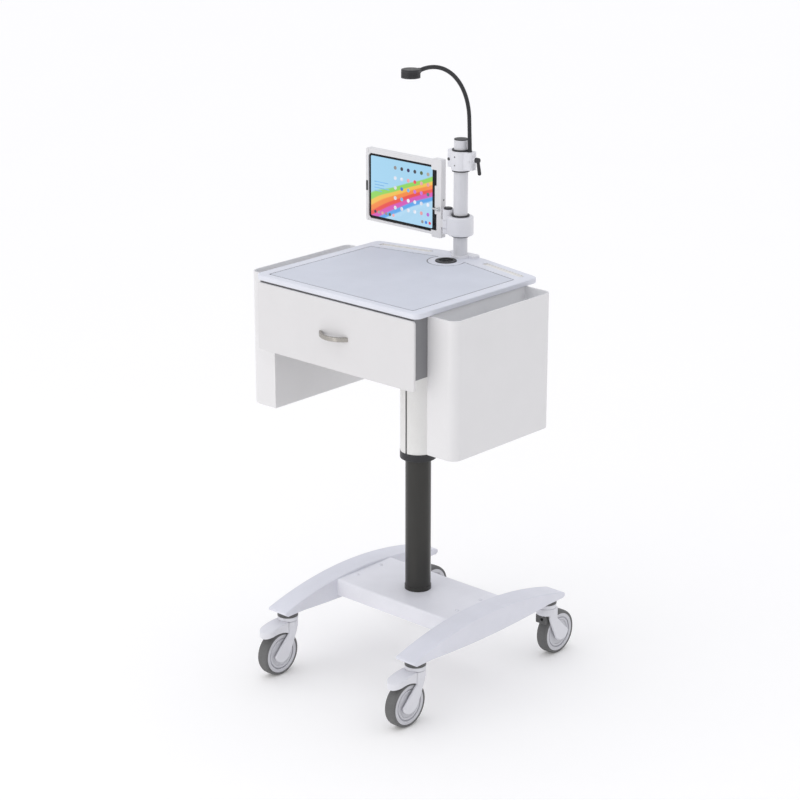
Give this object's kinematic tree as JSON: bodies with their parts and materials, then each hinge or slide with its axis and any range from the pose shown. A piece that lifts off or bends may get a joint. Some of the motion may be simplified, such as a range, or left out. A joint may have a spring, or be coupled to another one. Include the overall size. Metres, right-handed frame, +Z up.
{
  "type": "mobile tablet and equipment cart",
  "caption": "White height-adjusting cart on swivel casters with a worktop, drawer, open side bins and a rear mast that carries a tablet on a pivoting arm and a gooseneck lamp.",
  "frame": {"origin": "on the floor, midway between the casters and under the lift column's axis", "axes": "+Z up, -Y towards the user who faces the drawer, +X to that user's right as seen from the front"},
  "size_m": [0.722, 0.748, 1.667],
  "materials": {
    "leg_casting": "satin white powder coat",
    "beam_steel": "satin white powder coat",
    "column_white": "satin white powder coat",
    "column_dark": "satin dark grey",
    "shell_plastic": "fine-textured white",
    "worktop_plastic": "fine-textured white",
    "mat": "matte blue-grey",
    "cabinet_grey": "satin dark grey",
    "black_plastic": "matte black",
    "bright_steel": "brushed",
    "arm_white": "satin white powder coat",
    "mast_white": "satin white powder coat",
    "caster_plastic": "light grey-white",
    "wheel_plastic": "light grey",
    "tyre_rubber": "matte dark grey",
    "stem_grey": "satin dark grey",
    "tablet_shell": "satin dark",
    "screen_glass": "glossy, lit screen",
    "lens_glass": "frosted"
  },
  "bodies": {
    "base": {"base_beam": "beam_steel", "left_leg": "leg_casting", "right_leg": "leg_casting", "base_screws": "bright_steel", "caster_stems": "stem_grey", "column_tube": "column_dark", "column_guide": "black_plastic", "gas_spring_body": "column_dark"},
    "lift": {"column_sleeve": "column_white", "column_collar": "black_plastic", "gas_spring_rod": "bright_steel", "cabinet": "cabinet_grey", "cabinet_rails": "bright_steel", "tabletop": "worktop_plastic", "worktop_mat": "mat", "cable_grommet": "black_plastic", "left_bin": "shell_plastic", "right_bin": "shell_plastic", "mast_plate": "arm_white", "mast": "mast_white", "mast_cap": "black_plastic"},
    "drawer": {"drawer_box": "cabinet_grey", "drawer_front": "shell_plastic", "drawer_handle": "bright_steel", "drawer_rails": "bright_steel"},
    "arm_bush": {"arm_bush": "black_plastic"},
    "arm": {"arm_link": "arm_white", "arm_pivot_pin": "black_plastic"},
    "holder": {"holder_frame": "shell_plastic", "tablet_body": "tablet_shell", "tablet_glass": "screen_glass"},
    "jaw": {"holder_jaw": "shell_plastic"},
    "lock": {"lock_cylinder": "bright_steel"},
    "clamp_bush": {"clamp_bush": "black_plastic"},
    "clamp": {"clamp_body": "arm_white", "gooseneck_lower": "column_dark"},
    "lever": {"clamp_lever": "black_plastic"},
    "neck": {"gooseneck_upper": "column_dark"},
    "lamp": {"lamp_head": "black_plastic", "lamp_lens": "lens_glass"},
    "front_left_swivel": {"front_left_fork": "caster_plastic", "front_left_axle": "bright_steel"},
    "front_left_wheel": {"front_left_tyre": "tyre_rubber", "front_left_hub": "wheel_plastic"},
    "front_left_pedal": {"front_left_brake_pedal": "caster_plastic"},
    "front_right_swivel": {"front_right_fork": "caster_plastic", "front_right_axle": "bright_steel"},
    "front_right_wheel": {"front_right_tyre": "tyre_rubber", "front_right_hub": "wheel_plastic"},
    "front_right_pedal": {"front_right_brake_pedal": "caster_plastic"},
    "rear_left_swivel": {"rear_left_fork": "caster_plastic", "rear_left_axle": "bright_steel", "rear_left_brake_block": "stem_grey"},
    "rear_left_wheel": {"rear_left_tyre": "tyre_rubber", "rear_left_hub": "wheel_plastic"},
    "rear_right_swivel": {"rear_right_fork": "caster_plastic", "rear_right_axle": "bright_steel", "rear_right_brake_block": "stem_grey"},
    "rear_right_wheel": {"rear_right_tyre": "tyre_rubber", "rear_right_hub": "wheel_plastic"}
  },
  "joints": [
    {"name": "lift_slide", "type": "slide", "parent": "base", "child": "lift", "axis": [0, 0, 1], "range_m": [-0.35, 0.05]},
    {"name": "drawer_slide", "type": "slide", "parent": "lift", "child": "drawer", "axis": [0, -1, 0], "range_m": [0, 0.2]},
    {"name": "arm_bush_slide", "type": "slide", "parent": "lift", "child": "arm_bush", "axis": [0, 0, 1], "range_m": [-0.04, 0.08]},
    {"name": "arm_swing", "type": "hinge", "parent": "arm_bush", "child": "arm", "pos_m": [0, 0.1655, 1.21], "axis": [0, 0, 1], "range_deg": [-45, 100]},
    {"name": "holder_turn", "type": "hinge", "parent": "arm", "child": "holder", "pos_m": [-0.036, 0.157, 1.214], "axis": [0, 0, 1], "range_deg": [-50, 45]},
    {"name": "jaw_slide", "type": "slide", "parent": "holder", "child": "jaw", "axis": [-1, 0, 0], "range_m": [0, 0.015]},
    {"name": "lock_turn", "type": "hinge", "parent": "holder", "child": "lock", "pos_m": [-0.065, 0.15, 1.25], "axis": [0, -1, 0], "range_deg": [0, 90]},
    {"name": "clamp_bush_slide", "type": "slide", "parent": "lift", "child": "clamp_bush", "axis": [0, 0, 1], "range_m": [-0.08, 0.02]},
    {"name": "clamp_turn", "type": "hinge", "parent": "clamp_bush", "child": "clamp", "pos_m": [0, 0.1655, 1.39], "axis": [0, 0, 1], "range_deg": [-90, 90]},
    {"name": "lever_turn", "type": "hinge", "parent": "clamp", "child": "lever", "pos_m": [0.052, 0.1655, 1.398], "axis": [1, 0, 0], "range_deg": [-90, 90]},
    {"name": "neck_bend", "type": "hinge", "parent": "clamp", "child": "neck", "pos_m": [0.0305, 0.16319, 1.47], "axis": [1, 0, 0], "range_deg": [-25, 35]},
    {"name": "lamp_tilt", "type": "hinge", "parent": "neck", "child": "lamp", "pos_m": [0.0305, -0.0351, 1.65833], "axis": [1, 0, 0], "range_deg": [-30, 30]},
    {"name": "front_left_swivel", "type": "hinge", "parent": "base", "child": "front_left_swivel", "pos_m": [-0.235, -0.271, 0.155], "axis": [0, 0, 1], "continuous": true},
    {"name": "front_left_spin", "type": "hinge", "parent": "front_left_swivel", "child": "front_left_wheel", "pos_m": [-0.235, -0.3115, 0.0625], "axis": [1, 0, 0], "continuous": true},
    {"name": "front_left_pedal_press", "type": "hinge", "parent": "front_left_swivel", "child": "front_left_pedal", "pos_m": [-0.235, -0.302, 0.139], "axis": [1, 0, 0], "range_deg": [0, 4]},
    {"name": "front_right_swivel", "type": "hinge", "parent": "base", "child": "front_right_swivel", "pos_m": [0.235, -0.271, 0.155], "axis": [0, 0, 1], "continuous": true},
    {"name": "front_right_spin", "type": "hinge", "parent": "front_right_swivel", "child": "front_right_wheel", "pos_m": [0.235, -0.3115, 0.0625], "axis": [1, 0, 0], "continuous": true},
    {"name": "front_right_pedal_press", "type": "hinge", "parent": "front_right_swivel", "child": "front_right_pedal", "pos_m": [0.235, -0.302, 0.139], "axis": [1, 0, 0], "range_deg": [0, 4]},
    {"name": "rear_left_swivel", "type": "hinge", "parent": "base", "child": "rear_left_swivel", "pos_m": [-0.235, 0.271, 0.155], "axis": [0, 0, 1], "continuous": true},
    {"name": "rear_left_spin", "type": "hinge", "parent": "rear_left_swivel", "child": "rear_left_wheel", "pos_m": [-0.235, 0.3115, 0.0625], "axis": [1, 0, 0], "continuous": true},
    {"name": "rear_right_swivel", "type": "hinge", "parent": "base", "child": "rear_right_swivel", "pos_m": [0.235, 0.271, 0.155], "axis": [0, 0, 1], "continuous": true},
    {"name": "rear_right_spin", "type": "hinge", "parent": "rear_right_swivel", "child": "rear_right_wheel", "pos_m": [0.235, 0.3115, 0.0625], "axis": [1, 0, 0], "continuous": true}
  ]
}
